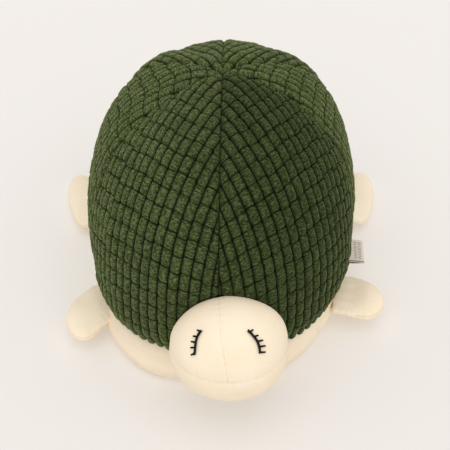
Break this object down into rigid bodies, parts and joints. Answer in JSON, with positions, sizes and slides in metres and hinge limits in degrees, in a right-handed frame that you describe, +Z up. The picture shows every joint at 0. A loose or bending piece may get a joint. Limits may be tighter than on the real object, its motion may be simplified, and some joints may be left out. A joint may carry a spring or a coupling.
{
  "type": "plush turtle",
  "caption": "Plush turtle lying on its belly: quilted domed shell of sewn gores, round head with embroidered closed eyes, stuffed flippers and a folded woven side label.",
  "frame": {"origin": "on the floor under the crown of the shell, where the gores meet", "axes": "+Z up, the nose points along -Y, +X is the turtle's own left side (a viewer who faces it sees +X on the right)"},
  "size_m": [0.268, 0.305, 0.173],
  "materials": {
    "shell_pile": "matte",
    "cream_pile": "matte",
    "fibre_filling": "matte",
    "eye_thread": "satin",
    "label_tape": "satin"
  },
  "bodies": {
    "body": {"shell_gore_front_left": "shell_pile", "shell_gore_side_left": "shell_pile", "shell_gore_back_left": "shell_pile", "shell_gore_back_right": "shell_pile", "shell_gore_side_right": "shell_pile", "shell_gore_front_right": "shell_pile", "belly_side_band": "cream_pile", "belly_base": "cream_pile", "body_stuffing": "fibre_filling"},
    "head": {"head_crown_left": "cream_pile", "head_crown_right": "cream_pile", "head_chin": "cream_pile", "head_stuffing": "fibre_filling", "eye_left": "eye_thread", "eye_right": "eye_thread"},
    "flipper_front_left": {"flipper_front_left_top": "cream_pile", "flipper_front_left_under": "cream_pile", "flipper_front_left_stuffing": "fibre_filling"},
    "flipper_front_right": {"flipper_front_right_top": "cream_pile", "flipper_front_right_under": "cream_pile", "flipper_front_right_stuffing": "fibre_filling"},
    "flipper_rear_left": {"flipper_rear_left_top": "cream_pile", "flipper_rear_left_under": "cream_pile", "flipper_rear_left_stuffing": "fibre_filling"},
    "flipper_rear_right": {"flipper_rear_right_top": "cream_pile", "flipper_rear_right_under": "cream_pile", "flipper_rear_right_stuffing": "fibre_filling"},
    "label": {"side_label": "label_tape"}
  },
  "joints": [
    {"name": "head_nod", "type": "hinge", "parent": "body", "child": "head", "pos_m": [0, -0.157, 0.0595], "axis": [1, 0, 0], "range_deg": [-10, 10], "stiffness_Nm_per_rad": 0.3},
    {"name": "flipper_front_left_hinge", "type": "hinge", "parent": "body", "child": "flipper_front_left", "pos_m": [0.09299, -0.07182, 0.0195], "axis": [-0.3135, -0.9496, 0], "range_deg": [-15, 45], "stiffness_Nm_per_rad": 0.05},
    {"name": "flipper_front_right_hinge", "type": "hinge", "parent": "body", "child": "flipper_front_right", "pos_m": [-0.09192, -0.07494, 0.0195], "axis": [-0.3345, 0.9424, 0], "range_deg": [-15, 45], "stiffness_Nm_per_rad": 0.05},
    {"name": "flipper_rear_left_hinge", "type": "hinge", "parent": "body", "child": "flipper_rear_left", "pos_m": [0.10062, 0.02983, 0.0195], "axis": [0.1438, -0.9896, 0], "range_deg": [-15, 45], "stiffness_Nm_per_rad": 0.05},
    {"name": "flipper_rear_right_hinge", "type": "hinge", "parent": "body", "child": "flipper_rear_right", "pos_m": [-0.10062, 0.02983, 0.0195], "axis": [0.1438, 0.9896, 0], "range_deg": [-15, 45], "stiffness_Nm_per_rad": 0.05},
    {"name": "label_hinge", "type": "hinge", "parent": "body", "child": "label", "pos_m": [0.09459, -0.03109, 0.028], "axis": [-0.0997, -0.995, 0], "range_deg": [-45, 35], "stiffness_Nm_per_rad": 0.0001}
  ]
}
